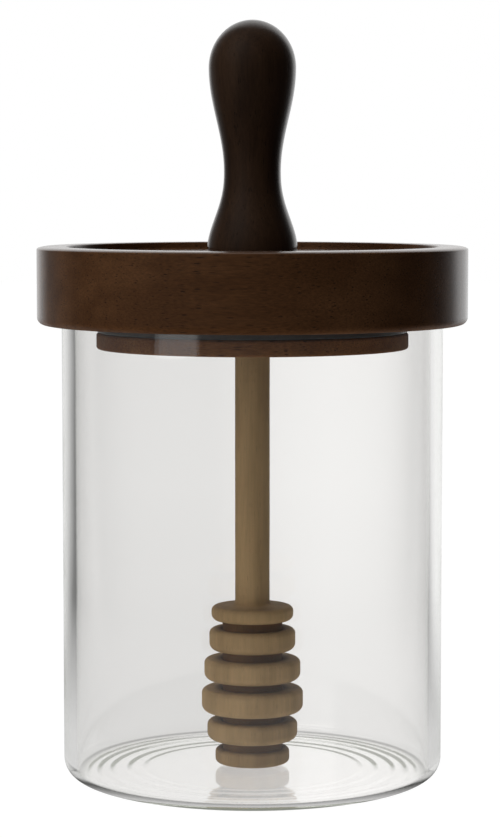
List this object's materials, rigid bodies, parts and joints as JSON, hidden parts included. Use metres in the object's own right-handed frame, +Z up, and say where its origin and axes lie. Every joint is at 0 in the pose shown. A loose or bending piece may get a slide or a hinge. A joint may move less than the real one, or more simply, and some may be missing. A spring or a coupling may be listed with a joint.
{
  "type": "glass honey pot",
  "caption": "Straight-sided clear glass pot with a thick round wooden lid, a pear-shaped knob on top and a ringed wooden honey dipper hanging inside.",
  "frame": {"origin": "centre of the jar's foot, on the surface it stands on", "axes": "+Z up along the axis that every piece is turned about; +X and +Y are equal"},
  "size_m": [0.1, 0.1, 0.176],
  "materials": {
    "clear_glass": "clear, polished",
    "dark_wood": "dark brown stain under thin satin varnish",
    "black_wood": "near black stain, satin",
    "grey_silicone": "translucent grey, smooth",
    "pale_wood": "bare turned beech, matt"
  },
  "bodies": {
    "root": {"jar": "clear_glass", "lid": "dark_wood", "gasket": "grey_silicone", "handle": "black_wood", "dipper": "pale_wood"}
  },
  "joints": []
}
